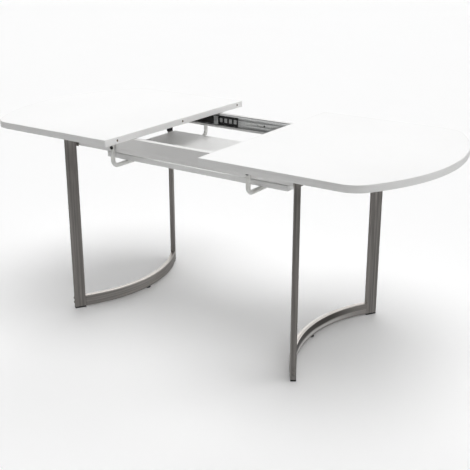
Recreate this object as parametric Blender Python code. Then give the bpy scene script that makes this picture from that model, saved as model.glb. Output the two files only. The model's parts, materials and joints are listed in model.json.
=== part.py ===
"""Extendable dining table, modelled open: two white top halves on ball-bearing runners, a fixed
apron frame, two steel legs with curved foot bars, and a shelf on two rods for the spare leaf.

Metres, +Z up. The origin is on the floor under the middle of the frame. X runs along the table,
the way the halves pull apart, and Y runs across it. Front is -Y and left is -X.
"""

import math

import bmesh
import bpy
from mathutils import Matrix, Vector

# Clearances between neighbours
SEAT = 0.0003            # between pieces that rest on, or are screwed to, each other
TOP_CLEARANCE = 0.0010   # under the sliding halves
PIN_CLEARANCE = 0.0003   # round a pin or a shank in its hole
CLOSED_SEAM = 0.0005     # left between the halves when they are pushed together

# Tabletop
TABLE_HEIGHT = 0.750
TOP_WIDTH = 0.842
HALF_LENGTH = 0.697
TOP_THICKNESS = 0.024
OPEN_GAP = 0.394
CORNER_RADIUS = 0.090
END_RADIUS = 0.657
TOP_EDGE_ROUND = 0.0010
CORNER_STEPS = 12
END_STEPS = 22

# Alignment pins in the seam
PIN_DIAMETER = 0.008
PIN_LENGTH = 0.030
PIN_REACH = 0.012        # how far a pin stands out of the right half
PIN_SPACING = 0.3715
PIN_OFFSET = 0.0115      # the middle pin's distance from the table's axis
PIN_HOLE_DEPTH = 0.016   # in the left half

# Seam catch
CATCH_WIDTH = 0.022
CATCH_LENGTH = 0.011
CATCH_HEIGHT = 0.0125
CATCH_Y = -0.0625
CATCH_TONGUE_WIDTH = 0.012
CATCH_TONGUE_HEIGHT = 0.0045
CATCH_TONGUE_REACH = 0.006
CATCH_PLAY = 0.0010      # round the tongue in its slot

# Frame
FRAME_LENGTH = 0.976     # over the end rails
FRAME_WIDTH = 0.556      # over the aprons
APRON_THICKNESS = 0.022
APRON_HEIGHT = 0.060
APRON_ROUND = 0.0010
END_RAIL_THICKNESS = 0.020
END_RAIL_HEIGHT = 0.055
END_RAIL_WALL = 0.002
PLATE_THICKNESS = 0.004
PLATE_REACH = 0.040      # how far a leg plate runs inwards over the end rail
TAB_THICKNESS = 0.003    # of the tab that laps each apron's outer face
TAB_REACH = 0.0105       # past the post's inner corner
TAB_HEIGHT = 0.063
TAB_NOSE = 0.012         # height of its free end

# Legs
POST_X = 0.492
POST_Y = 0.299
POST_WIDTH = 0.043
POST_DEPTH = 0.0195
POST_WALL = 0.002
POST_ROUND = 0.0022
FOOT_BAR_RADIUS = 0.500
FOOT_BAR_HEIGHT = 0.043
FOOT_BAR_STEPS = 27
FOOT_BAR_END = 0.012     # solid blocks welded in the bar's ends
FOOT_PAD_HEIGHT = 0.0055
FOOT_PLUG_HEIGHT = 0.013
GLIDE_DIAMETER = 0.024
GLIDE_STUD_DIAMETER = 0.006
GLIDE_STUD_LENGTH = 0.010

# Screws
FOOT_SCREW_HEAD = 0.0085
FOOT_SCREW_SHANK = 0.005
FOOT_SCREW_HEAD_HEIGHT = 0.0030
FOOT_SCREW_REACH = 0.009         # how far it goes into the foot bar
FOOT_SCREW_HEIGHTS = (0.0245, 0.0425)
ROD_SCREW_HEAD = 0.0130
ROD_SCREW_SHANK = 0.006
ROD_SCREW_HEAD_HEIGHT = 0.0060
ROD_SCREW_GRIP = 0.012   # how far it goes into the apron
RAIL_SCREW_HEAD = 0.0080
RAIL_SCREW_SHANK = 0.004
RAIL_SCREW_HEAD_HEIGHT = 0.0016   # sunk in the channel's web
RAIL_SCREW_GRIP = 0.012
RAIL_SCREW_X = 0.020

# Storage rods and shelf
ROD_DIAMETER = 0.016
ROD_X = {"left": -0.2900, "right": 0.3000}
ROD_END_DROP = 0.020     # from the aprons' top edge to the rod's ends
ROD_SCREW_DROP = 0.041
ROD_FLAT_DROP = 0.052    # its ends are pressed flat down to here
ROD_ROUND_DROP = 0.064   # and round again from here
ROD_RUN_DROP = 0.112     # to the axis of the run under the frame
ROD_FLAT_DEPTH = 0.0035  # from the axis to the flat
ROD_BEND = 0.025
ROD_SIDES = 12
BEND_STEPS = 6
SHELF_THICKNESS = 0.020
SHELF_FRONT = -0.2155
SHELF_BACK = 0.195
SHELF_LEFT = -0.383
SHELF_RIGHT = 0.409

# Ball-bearing runners, their depths measured in from the apron
RUNNER_HEIGHT = 0.045
RUNNER_DROP = 0.026       # from the aprons' top edge to its middle
RUNNER_SHEET = 0.0018
RUNNER_DEPTH = 0.0115
MEMBER_INSET = 0.006     # inside the channel's edges, above and below
MEMBER_BACK = 0.0042     # its lips' edges
BALL_CLEARANCE = 0.0003  # above and below each ball
CAGE_SHEET = 0.0012
CAGE_DEPTH = 0.0062
CAGE_LENGTH = 0.260
CAGE_SHOWS = {"left": 0.092, "right": 0.050}   # past its seam, when the table is open
CAGE_PITCH = 0.023
CAGE_WINDOW = (0.015, 0.018)
ANGLE_SHEET = 0.0025
ANGLE_WIDTH = 0.028
ANGLE_DROP = 0.042       # height of the angle's upright leg
ANGLE_SETBACK = 0.021    # from the seam
ANGLE_CUT = (0.022, 0.012)   # length and depth of the corner cut off that end

# Places that follow from the sizes above
UNDERSIDE = TABLE_HEIGHT - TOP_THICKNESS
SEAM = OPEN_GAP / 2
TRAVEL = SEAM - CLOSED_SEAM / 2
APRON_TOP = UNDERSIDE - TOP_CLEARANCE
APRON_OUTER = FRAME_WIDTH / 2
APRON_INNER = APRON_OUTER - APRON_THICKNESS
END_RAIL_INNER = FRAME_LENGTH / 2 - END_RAIL_THICKNESS
PLATE_TOP = APRON_TOP
POST_TOP = PLATE_TOP - PLATE_THICKNESS - SEAT
ROD_Y = APRON_OUTER + SEAT + ROD_DIAMETER / 2
ROD_RUN_Z = APRON_TOP - ROD_RUN_DROP
ROD_SCREW_Z = APRON_TOP - ROD_SCREW_DROP
RUNNER_Z = APRON_TOP - RUNNER_DROP
MEMBER_HEIGHT = RUNNER_HEIGHT - 2 * MEMBER_INSET
RUNNER_END = END_RAIL_INNER - TOP_CLEARANCE
CAGE_BACK = 2 * SEAT + RUNNER_SHEET
MEMBER_FRONT = RUNNER_DEPTH + 2 * SEAT
BALL_ROW = (RUNNER_HEIGHT / 2 - RUNNER_SHEET + MEMBER_HEIGHT / 2) / 2
BALL_RADIUS = (RUNNER_HEIGHT / 2 - RUNNER_SHEET - MEMBER_HEIGHT / 2) / 2 - BALL_CLEARANCE

SIDES = (("left", -1), ("right", 1))
FACES = (("front", -1), ("back", 1))


def clear_scene():
    for item in list(bpy.data.objects):
        bpy.data.objects.remove(item, do_unlink=True)


def make_material(name, colour, roughness, metallic=0.0):
    material = bpy.data.materials.new(name)
    material.use_nodes = True
    shader = material.node_tree.nodes["Principled BSDF"]
    shader.inputs["Base Color"].default_value = (*colour, 1.0)
    shader.inputs["Roughness"].default_value = roughness
    shader.inputs["Metallic"].default_value = metallic
    return material


def add_object(name, mesh, material, location=(0, 0, 0), turn=0.0):
    item = bpy.data.objects.new(name, mesh)
    bpy.context.scene.collection.objects.link(item)
    item.location = location
    item.rotation_euler = (0, 0, turn)
    if material:
        mesh.materials.append(material)
    return item


def mesh_from(build, name):
    """A mesh from a function that fills a bmesh, with its faces pointing out."""
    form = bmesh.new()
    build(form)
    bmesh.ops.recalc_face_normals(form, faces=form.faces)
    mesh = bpy.data.meshes.new(name)
    form.to_mesh(mesh)
    form.free()
    return mesh


def box_mesh(name, low, high):
    low, high = Vector(low), Vector(high)
    size = high - low

    def build(form):
        place = Matrix.Translation((low + high) / 2) @ Matrix.Diagonal((*size, 1))
        bmesh.ops.create_cube(form, size=1, matrix=place)

    return mesh_from(build, name)


def prism_mesh(name, outline, low, high):
    """The outline, a list of (x, y), stood up between two heights."""

    def build(form):
        face = form.faces.new([form.verts.new((x, y, low)) for x, y in outline])
        grown = bmesh.ops.extrude_face_region(form, geom=[face])
        moved = [part for part in grown["geom"] if isinstance(part, bmesh.types.BMVert)]
        bmesh.ops.translate(form, verts=moved, vec=(0, 0, high - low))

    return mesh_from(build, name)


def loft_mesh(name, rings, bore=None, smooth=False):
    """Rings of points joined in order. With a bore, an inner set of rings makes it a tube."""

    def add_wall(form, loops):
        for first, second in zip(loops, loops[1:]):
            for i, corner in enumerate(first):
                j = (i + 1) % len(first)
                form.faces.new((corner, first[j], second[j], second[i]))

    def build(form):
        outer = [[form.verts.new(point) for point in ring] for ring in rings]
        add_wall(form, outer)
        if bore is None:
            form.faces.new(outer[0])
            form.faces.new(outer[-1])
            return
        inner = [[form.verts.new(point) for point in ring] for ring in bore]
        add_wall(form, inner)
        for end in (0, -1):
            add_wall(form, [outer[end], inner[end]])

    mesh = mesh_from(build, name)
    if smooth:
        mesh.shade_smooth()
        mesh.set_sharp_from_angle(angle=math.radians(35))
    return mesh


def turned_mesh(name, profile, sides=12):
    """A solid turned round Z from (radius, z) pairs, bottom to top."""
    rings = [
        [
            (r * math.cos(turn), r * math.sin(turn), z)
            for turn in (math.tau * i / sides for i in range(sides))
        ]
        for r, z in profile
    ]
    return loft_mesh(name, rings, smooth=True)


def rounded_rectangle(width, depth, radius, steps=3):
    """Points round a rectangle with rounded corners, centred on zero."""
    points = []
    for quarter in range(4):
        x = (width / 2 - radius) * (1 if quarter in (0, 3) else -1)
        y = (depth / 2 - radius) * (1 if quarter in (0, 1) else -1)
        for i in range(steps):
            turn = math.pi / 2 * (quarter + i / (steps - 1))
            points.append((x + radius * math.cos(turn), y + radius * math.sin(turn)))
    return points


def add_bevel(item, width, segments=2):
    bevel = item.modifiers.new("edge_round", "BEVEL")
    bevel.width = width
    bevel.segments = segments
    bevel.limit_method = "ANGLE"
    bevel.angle_limit = math.radians(50)


def add_tool(name, mesh):
    """A hidden object that only shapes another by a Boolean."""
    tool = add_object(name, mesh, None)
    tool.hide_render = True
    tool.display_type = "WIRE"
    return tool


def add_cylinder_cutter(name, diameter, start, end, sides=16):
    """A hidden cylinder from one point to another, for drilling."""
    start, end = Vector(start), Vector(end)
    middle = (start + end) / 2
    turn = (end - start).to_track_quat("Z", "Y").to_matrix().to_4x4()

    def build(form):
        bmesh.ops.create_cone(
            form, cap_ends=True, segments=sides, radius1=diameter / 2, radius2=diameter / 2,
            depth=(end - start).length, matrix=Matrix.Translation(middle) @ turn)

    return add_tool(name, mesh_from(build, name))


def apply_tool(item, cutter, operation="DIFFERENCE"):
    cut = item.modifiers.new(cutter.name, "BOOLEAN")
    cut.operation = operation
    cut.solver = "EXACT"
    cut.object = cutter


def half_outline():
    """Plan of a half from its seam at x = 0: straight sides, rounded corners, bowed end."""
    corner_y = TOP_WIDTH / 2 - CORNER_RADIUS
    end_x = HALF_LENGTH - END_RADIUS
    corner_x = end_x + math.sqrt((END_RADIUS - CORNER_RADIUS) ** 2 - corner_y ** 2)
    meet = math.atan2(corner_y, corner_x - end_x)
    upper = [(0.0, TOP_WIDTH / 2)]
    for i in range(CORNER_STEPS):
        turn = math.pi / 2 + (meet - math.pi / 2) * i / CORNER_STEPS
        upper.append((corner_x + CORNER_RADIUS * math.cos(turn), corner_y + CORNER_RADIUS * math.sin(turn)))
    bow = []
    for i in range(END_STEPS + 1):
        turn = meet - 2 * meet * i / END_STEPS
        bow.append((end_x + END_RADIUS * math.cos(turn), END_RADIUS * math.sin(turn)))
    lower = [(x, -y) for x, y in reversed(upper)]
    return upper + bow + lower


def add_tops(white):
    outline = half_outline()
    for side, way in SIDES:
        name = f"table_top_{side}"
        plan = [(way * (SEAM + x), y) for x, y in outline]
        top = add_object(name, prism_mesh(name, plan, UNDERSIDE, TABLE_HEIGHT), white)
        add_bevel(top, TOP_EDGE_ROUND)
        for i, y in enumerate((PIN_OFFSET - PIN_SPACING, PIN_OFFSET, PIN_OFFSET + PIN_SPACING)):
            depth = PIN_HOLE_DEPTH if way < 0 else PIN_LENGTH - PIN_REACH + SEAT
            middle = UNDERSIDE + TOP_THICKNESS / 2
            hole = add_cylinder_cutter(
                f"cut_{side}_pin_{i}", PIN_DIAMETER + 2 * PIN_CLEARANCE,
                (way * (SEAM - PIN_REACH), y, middle), (way * (SEAM + depth), y, middle))
            apply_tool(top, hole)


def add_pins(steel):
    profile = [
        (PIN_DIAMETER / 2 - 0.0008, -PIN_LENGTH / 2),
        (PIN_DIAMETER / 2, -PIN_LENGTH / 2 + 0.0012),
        (PIN_DIAMETER / 2, PIN_LENGTH / 2 - 0.0012),
        (PIN_DIAMETER / 2 - 0.0008, PIN_LENGTH / 2),
    ]
    mesh = turned_mesh("alignment_pin", profile)
    mesh.materials.append(steel)
    middle = SEAM - PIN_REACH + PIN_LENGTH / 2
    for place, step in (("front", -1), ("middle", 0), ("back", 1)):
        y = PIN_OFFSET + step * PIN_SPACING
        pin = add_object(f"alignment_pin_{place}", mesh, None, (middle, y, UNDERSIDE + TOP_THICKNESS / 2))
        pin.rotation_euler = (0, math.pi / 2, 0)


def add_catches(black):
    top = UNDERSIDE - SEAT
    low = top - CATCH_HEIGHT
    front, back = CATCH_Y - CATCH_WIDTH / 2, CATCH_Y + CATCH_WIDTH / 2
    middle = (top + low) / 2
    half_width = CATCH_TONGUE_WIDTH / 2
    half_height = CATCH_TONGUE_HEIGHT / 2
    housing = add_object(
        "seam_catch_left",
        box_mesh("seam_catch_left", (-SEAM - CATCH_LENGTH, front, low), (-SEAM, back, top)), black)
    slot = add_tool("cut_catch_slot", box_mesh(
        "cut_catch_slot",
        (-SEAM - CATCH_TONGUE_REACH - 2 * CATCH_PLAY, CATCH_Y - half_width - CATCH_PLAY,
         middle - half_height - CATCH_PLAY),
        (-SEAM + CATCH_PLAY, CATCH_Y + half_width + CATCH_PLAY, middle + half_height + CATCH_PLAY)))
    apply_tool(housing, slot)
    block = add_object(
        "seam_catch_right",
        box_mesh("seam_catch_right", (SEAM, front, low), (SEAM + CATCH_LENGTH, back, top)), black)
    tongue = add_tool("join_catch_tongue", box_mesh(
        "join_catch_tongue",
        (SEAM - CATCH_TONGUE_REACH, CATCH_Y - half_width, middle - half_height),
        (SEAM + CATCH_PLAY, CATCH_Y + half_width, middle + half_height)))
    apply_tool(block, tongue, "UNION")


def add_aprons(white):
    length = END_RAIL_INNER - SEAT
    for face, way in FACES:
        name = f"apron_{face}"
        low_y, high_y = sorted((way * APRON_INNER, way * APRON_OUTER))
        apron = add_object(name, box_mesh(
            name, (-length, low_y, APRON_TOP - APRON_HEIGHT), (length, high_y, APRON_TOP)), white)
        add_bevel(apron, APRON_ROUND, 1)
        for side in ROD_X:
            hole = add_cylinder_cutter(
                f"cut_{face}_{side}_rod_screw", ROD_SCREW_SHANK + 2 * PIN_CLEARANCE,
                (ROD_X[side], way * (APRON_OUTER + 0.005), ROD_SCREW_Z),
                (ROD_X[side], way * (APRON_OUTER - ROD_SCREW_GRIP - SEAT), ROD_SCREW_Z))
            apply_tool(apron, hole)
        hole = add_cylinder_cutter(
            f"cut_{face}_rail_screw", RAIL_SCREW_SHANK + 2 * PIN_CLEARANCE,
            (RAIL_SCREW_X, way * (APRON_INNER - 0.005), RUNNER_Z),
            (RAIL_SCREW_X, way * (APRON_INNER + RAIL_SCREW_GRIP + SEAT), RUNNER_Z))
        apply_tool(apron, hole)


def foot_bar_frame():
    """The foot bar's half-angle and its circle's centre, for a right leg."""
    reach = POST_WIDTH / 2 + SEAT
    slant = math.hypot(FOOT_BAR_RADIUS, reach)
    half_angle = math.asin(POST_Y / slant) - math.atan2(reach, FOOT_BAR_RADIUS)
    centre = POST_X + FOOT_BAR_RADIUS * math.cos(half_angle) - reach * math.sin(half_angle)
    return half_angle, centre


def post_corners(way_x, way_y, width=POST_WIDTH, depth=POST_DEPTH):
    """The four plan corners of a post."""
    half_angle, _ = foot_bar_frame()
    along = Vector((way_x * math.sin(half_angle), way_y * math.cos(half_angle)))
    across = Vector((-along.y, along.x))
    middle = Vector((way_x * POST_X, way_y * POST_Y))
    return [
        middle + along * (i * width / 2) + across * (j * depth / 2)
        for i, j in ((-1, -1), (1, -1), (1, 1), (-1, 1))
    ]


def add_end_rails(steel):
    """Steel tubes across the ends of the frame, between the posts."""
    reach = min(abs(corner.y) for corner in post_corners(1, 1)) - 2 * TOP_CLEARANCE
    bottom = POST_TOP - END_RAIL_HEIGHT
    middle_x = END_RAIL_INNER + END_RAIL_THICKNESS / 2
    section = rounded_rectangle(END_RAIL_THICKNESS, END_RAIL_HEIGHT, POST_ROUND)
    hollow = rounded_rectangle(
        END_RAIL_THICKNESS - 2 * END_RAIL_WALL, END_RAIL_HEIGHT - 2 * END_RAIL_WALL, POST_ROUND / 2)
    for side, way in SIDES:
        def ring(points, y):
            return [(way * middle_x + u, y, bottom + END_RAIL_HEIGHT / 2 + v) for u, v in points]

        name = f"end_rail_{side}"
        mesh = loft_mesh(
            name, [ring(section, -reach), ring(section, reach)],
            [ring(hollow, -reach), ring(hollow, reach)], smooth=True)
        add_object(name, mesh, steel)


def tab_mesh(name, way_x, way_y):
    """A tab down an apron's outer face, its lower edge sloping up to its free end."""
    inner = min(abs(corner.x) for corner in post_corners(1, 1)) - TAB_REACH
    outer = END_RAIL_INNER + TAB_REACH
    top = PLATE_TOP
    profile = [
        (inner, top), (outer, top), (outer, top - TAB_HEIGHT), (outer - TAB_REACH, top - TAB_HEIGHT),
        (inner, top - TAB_NOSE),
    ]
    near = APRON_OUTER + SEAT
    rings = [
        [(way_x * x, way_y * y, z) for x, z in profile]
        for y in (near, near + TAB_THICKNESS)
    ]
    return loft_mesh(name, rings)


def add_leg_plates(steel):
    """Plates on the posts' tops that tie them to the end rails and the aprons."""
    reach = min(abs(corner.y) for corner in post_corners(1, 1))
    for side, way_x in SIDES:
        for face, way_y in FACES:
            rail = [
                Vector((way_x * x, way_y * (reach - PLATE_REACH)))
                for x in (END_RAIL_INNER, FRAME_LENGTH / 2)
            ]
            points = post_corners(way_x, way_y) + rail

            def build(form):
                for z in (PLATE_TOP - PLATE_THICKNESS, PLATE_TOP):
                    for point in points:
                        form.verts.new((point.x, point.y, z))
                bmesh.ops.convex_hull(form, input=form.verts)

            name = f"leg_plate_{face}_{side}"
            plate = add_object(name, mesh_from(build, name), steel)
            tab = tab_mesh(f"join_tab_{face}_{side}", way_x, way_y)
            apply_tool(plate, add_tool(f"join_tab_{face}_{side}", tab), "UNION")


def add_posts(steel, black):
    half_angle, _ = foot_bar_frame()
    section = rounded_rectangle(POST_WIDTH, POST_DEPTH, POST_ROUND)
    hollow = rounded_rectangle(POST_WIDTH - 2 * POST_WALL, POST_DEPTH - 2 * POST_WALL, POST_ROUND / 2)
    plug = rounded_rectangle(
        POST_WIDTH - 2 * (POST_WALL + SEAT), POST_DEPTH - 2 * (POST_WALL + SEAT), POST_ROUND / 2)
    bottom = FOOT_PAD_HEIGHT + SEAT

    def ring(points, z):
        return [(u, v, z) for u, v in points]

    pad = loft_mesh("foot_pad", [
        ring(section, 0), ring(section, FOOT_PAD_HEIGHT),
        ring(plug, FOOT_PAD_HEIGHT), ring(plug, FOOT_PAD_HEIGHT + FOOT_PLUG_HEIGHT)], smooth=True)
    pad.materials.append(black)
    for side, way_x in SIDES:
        for face, way_y in FACES:
            turn = math.atan2(way_y * math.cos(half_angle), way_x * math.sin(half_angle))
            place = (way_x * POST_X, way_y * POST_Y, 0)
            name = f"leg_post_{face}_{side}"
            mesh = loft_mesh(
                name, [ring(section, bottom), ring(section, POST_TOP)],
                [ring(hollow, bottom), ring(hollow, POST_TOP)], smooth=True)
            post = add_object(name, mesh, steel, place, turn)
            outward = Vector((math.cos(turn), math.sin(turn), 0))
            for i, z in enumerate(FOOT_SCREW_HEIGHTS):
                face_point = Vector(place) + outward * POST_WIDTH / 2 + Vector((0, 0, z))
                hole = add_cylinder_cutter(
                    f"cut_{face}_{side}_foot_screw_{i}", FOOT_SCREW_SHANK + 2 * PIN_CLEARANCE,
                    face_point + outward * 0.005, face_point - outward * (POST_WIDTH + 0.005))
                apply_tool(post, hole)
            add_object(f"foot_pad_{face}_{side}", pad, None, place, turn)


def screw_mesh(name, head, shank, head_height, length, dome=0.35):
    """A round-headed screw along Z: its head from z = 0 up, its shank below."""
    rim = head_height * (1 - dome)
    profile = [
        (shank / 2, -length), (shank / 2, 0), (head / 2, 0), (head / 2, rim),
        (head * 0.38, head_height * 0.9), (head * 0.20, head_height),
    ]
    return turned_mesh(name, profile)


def add_screw(name, mesh, seat, outward):
    """A screw with its head's underside a seat's gap above the point seat."""
    outward = Vector(outward).normalized()
    screw = add_object(name, mesh, None, Vector(seat) + outward * SEAT)
    screw.rotation_euler = outward.to_track_quat("Z", "Y").to_euler()


def add_foot_screws(steel):
    half_angle, _ = foot_bar_frame()
    length = POST_WIDTH + 2 * SEAT + FOOT_SCREW_REACH
    mesh = screw_mesh(
        "foot_screw", FOOT_SCREW_HEAD, FOOT_SCREW_SHANK, FOOT_SCREW_HEAD_HEIGHT, length)
    mesh.materials.append(steel)
    for side, way_x in SIDES:
        for face, way_y in FACES:
            outward = Vector((way_x * math.sin(half_angle), way_y * math.cos(half_angle), 0))
            for level, z in zip(("low", "high"), FOOT_SCREW_HEIGHTS):
                seat = Vector((way_x * POST_X, way_y * POST_Y, z)) + outward * POST_WIDTH / 2
                add_screw(f"foot_screw_{face}_{side}_{level}", mesh, seat, outward)


def add_foot_bars(steel, black):
    """Curved flat tubes along the floor that bow in towards the middle of the table."""
    half_angle, centre = foot_bar_frame()
    section = rounded_rectangle(POST_DEPTH, FOOT_BAR_HEIGHT, POST_ROUND)
    half_depth = POST_DEPTH / 2 - POST_WALL
    half_height = FOOT_BAR_HEIGHT / 2 - POST_WALL
    hollow = [(u * half_depth, v * half_height) for u, v in ((1, 1), (-1, 1), (-1, -1), (1, -1))]
    middle_z = FOOT_PAD_HEIGHT + FOOT_BAR_HEIGHT / 2
    stud_top = FOOT_PAD_HEIGHT + GLIDE_STUD_LENGTH
    glide = turned_mesh("foot_bar_glide", [
        (GLIDE_DIAMETER / 2 - 0.001, 0), (GLIDE_DIAMETER / 2, 0.001),
        (GLIDE_DIAMETER / 2, FOOT_PAD_HEIGHT - SEAT), (GLIDE_STUD_DIAMETER / 2, FOOT_PAD_HEIGHT - SEAT),
        (GLIDE_STUD_DIAMETER / 2, stud_top)])
    glide.materials.append(black)
    for side, way in SIDES:
        def ring(points, turn):
            return [
                (way * (centre - (FOOT_BAR_RADIUS + u) * math.cos(turn)),
                 (FOOT_BAR_RADIUS + u) * math.sin(turn), middle_z + v)
                for u, v in points
            ]

        def sweep(name, points, limit):
            turns = [limit * (2 * i / FOOT_BAR_STEPS - 1) for i in range(FOOT_BAR_STEPS + 1)]
            return loft_mesh(name, [ring(points, turn) for turn in turns], smooth=True)

        name = f"foot_bar_{side}"
        bar = add_object(name, sweep(name, section, half_angle), steel)
        bore = sweep(f"cut_{side}_bore", hollow, half_angle - FOOT_BAR_END / FOOT_BAR_RADIUS)
        apply_tool(bar, add_tool(f"cut_{side}_bore", bore))
        middle_x = way * (centre - FOOT_BAR_RADIUS)
        hole = add_cylinder_cutter(
            f"cut_{side}_glide", GLIDE_STUD_DIAMETER + 2 * PIN_CLEARANCE,
            (middle_x, 0, 0), (middle_x, 0, FOOT_PAD_HEIGHT + 2 * POST_WALL))
        apply_tool(bar, hole)
        for face, face_way in FACES:
            outward = Vector((way * math.sin(half_angle), face_way * math.cos(half_angle), 0))
            for i, z in enumerate(FOOT_SCREW_HEIGHTS):
                mouth = Vector((way * POST_X, face_way * POST_Y, z)) - outward * POST_WIDTH / 2
                hole = add_cylinder_cutter(
                    f"cut_bar_{face}_{side}_screw_{i}", FOOT_SCREW_SHANK + 2 * PIN_CLEARANCE,
                    mouth, mouth - outward * (FOOT_SCREW_REACH + 2 * SEAT))
                apply_tool(bar, hole)
        add_object(f"foot_bar_glide_{side}", glide, None, (middle_x, 0, 0))


def rod_path():
    """The rod's axis as (y, z, reach): down one side, under the frame and up the other.

    The reach is how far the rod stands out from its axis, away from the frame.
    """
    end = [
        (APRON_TOP - ROD_END_DROP, ROD_FLAT_DEPTH), (APRON_TOP - ROD_FLAT_DROP, ROD_FLAT_DEPTH),
        (APRON_TOP - ROD_ROUND_DROP, ROD_DIAMETER / 2),
    ]
    points = [(-ROD_Y, z, reach) for z, reach in end]
    for way in (-1, 1):
        bend_y = way * (ROD_Y - ROD_BEND)
        bend_z = ROD_RUN_Z + ROD_BEND
        for i in range(BEND_STEPS + 1):
            turn = math.pi / 2 * (i / BEND_STEPS if way < 0 else 1 - i / BEND_STEPS)
            points.append((
                bend_y + way * ROD_BEND * math.cos(turn), bend_z - ROD_BEND * math.sin(turn),
                ROD_DIAMETER / 2))
    points.extend((ROD_Y, z, reach) for z, reach in reversed(end))
    return points


def add_rods(white):
    path = rod_path()
    radius = ROD_DIAMETER / 2
    chamfer = 0.0015
    for side in ROD_X:
        rings = []
        for i, (y, z, reach) in enumerate(path):
            before = Vector(path[max(i - 1, 0)][:2])
            after = Vector(path[min(i + 1, len(path) - 1)][:2])
            ahead = (after - before).normalized()
            normal = Vector((-ahead.y, ahead.x))
            ring = []
            for k in range(ROD_SIDES):
                turn = math.tau * k / ROD_SIDES
                across = max(radius * math.sin(turn), -reach)
                along = ROD_X[side] + radius * math.cos(turn)
                ring.append((along, y + normal.x * across, z + normal.y * across))
            rings.append(ring)
        for end in (0, -1):
            tip = [Vector(point) for point in rings[end]]
            heart = sum(tip, Vector()) / len(tip)
            small = [heart + (point - heart) * (1 - chamfer / radius) for point in tip]
            small = [point + Vector((0, 0, chamfer)) for point in small]
            if end == 0:
                rings.insert(0, small)
            else:
                rings.append(small)
        name = f"storage_rod_{side}"
        rod = add_object(name, loft_mesh(name, rings, smooth=True), white)
        for face, face_way in FACES:
            hole = add_cylinder_cutter(
                f"cut_{side}_{face}_rod", ROD_SCREW_SHANK + 2 * PIN_CLEARANCE,
                (ROD_X[side], face_way * (ROD_Y - ROD_DIAMETER), ROD_SCREW_Z),
                (ROD_X[side], face_way * (ROD_Y + ROD_DIAMETER), ROD_SCREW_Z))
            apply_tool(rod, hole)


def add_rod_screws(black):
    length = ROD_DIAMETER / 2 + ROD_FLAT_DEPTH + SEAT + ROD_SCREW_GRIP
    mesh = screw_mesh("rod_screw", ROD_SCREW_HEAD, ROD_SCREW_SHANK, ROD_SCREW_HEAD_HEIGHT, length)
    mesh.materials.append(black)
    for side in ROD_X:
        for face, way_y in FACES:
            seat = (ROD_X[side], way_y * (ROD_Y + ROD_FLAT_DEPTH), ROD_SCREW_Z)
            add_screw(f"rod_screw_{face}_{side}", mesh, seat, (0, way_y, 0))


def add_shelf(white):
    bottom = ROD_RUN_Z + ROD_DIAMETER / 2 + SEAT
    shelf = add_object("storage_shelf", box_mesh(
        "storage_shelf", (SHELF_LEFT, SHELF_FRONT, bottom),
        (SHELF_RIGHT, SHELF_BACK, bottom + SHELF_THICKNESS)), white)
    add_bevel(shelf, APRON_ROUND, 1)


def section_along_x(points, start, end, way_y):
    """Rings at two x for a profile given as (distance in from the apron, height)."""
    return [
        [(x, way_y * (APRON_INNER - depth), z) for depth, z in points]
        for x in (start, end)
    ]


def channel_profile(back, front, height, sheet):
    """An open channel, its web at the back and its lips towards the front."""
    low, high = RUNNER_Z - height / 2, RUNNER_Z + height / 2
    return [
        (back, low), (front, low), (front, low + sheet), (back + sheet, low + sheet),
        (back + sheet, high - sheet), (front, high - sheet), (front, high), (back, high),
    ]


def add_channels(steel, screw_steel):
    screw = screw_mesh("rail_screw", RAIL_SCREW_HEAD, RAIL_SCREW_SHANK,
                       RAIL_SCREW_HEAD_HEIGHT, SEAT + RAIL_SCREW_GRIP)
    screw.materials.append(screw_steel)
    profile = channel_profile(SEAT, RUNNER_DEPTH, RUNNER_HEIGHT, RUNNER_SHEET)
    for face, way in FACES:
        name = f"runner_channel_{face}"
        channel = add_object(
            name, loft_mesh(name, section_along_x(profile, -RUNNER_END, RUNNER_END, way)), steel)
        hole = add_cylinder_cutter(
            f"cut_{face}_channel", RAIL_SCREW_HEAD + 2 * PIN_CLEARANCE,
            (RAIL_SCREW_X, way * (APRON_INNER - 2 * RUNNER_SHEET), RUNNER_Z),
            (RAIL_SCREW_X, way * APRON_INNER, RUNNER_Z))
        apply_tool(channel, hole)
        seat = (RAIL_SCREW_X, way * APRON_INNER, RUNNER_Z)
        add_screw(f"runner_screw_{face}", screw, seat, (0, -way, 0))


def member_profile():
    """The moving channel: its web at the front, its lips towards the cage."""
    low, high = RUNNER_Z - MEMBER_HEIGHT / 2, RUNNER_Z + MEMBER_HEIGHT / 2
    web = MEMBER_FRONT - RUNNER_SHEET
    return [
        (MEMBER_FRONT, low), (MEMBER_FRONT, high), (MEMBER_BACK, high), (MEMBER_BACK, high - RUNNER_SHEET),
        (web, high - RUNNER_SHEET), (web, low + RUNNER_SHEET), (MEMBER_BACK, low + RUNNER_SHEET),
        (MEMBER_BACK, low),
    ]


def angle_profile():
    """The angle that hangs a moving channel under its half of the top."""
    back = MEMBER_FRONT + SEAT
    high = UNDERSIDE - SEAT
    return [
        (back, high - ANGLE_DROP), (back + ANGLE_SHEET, high - ANGLE_DROP),
        (back + ANGLE_SHEET, high - ANGLE_SHEET), (back + ANGLE_WIDTH, high - ANGLE_SHEET),
        (back + ANGLE_WIDTH, high), (back, high),
    ]


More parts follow.
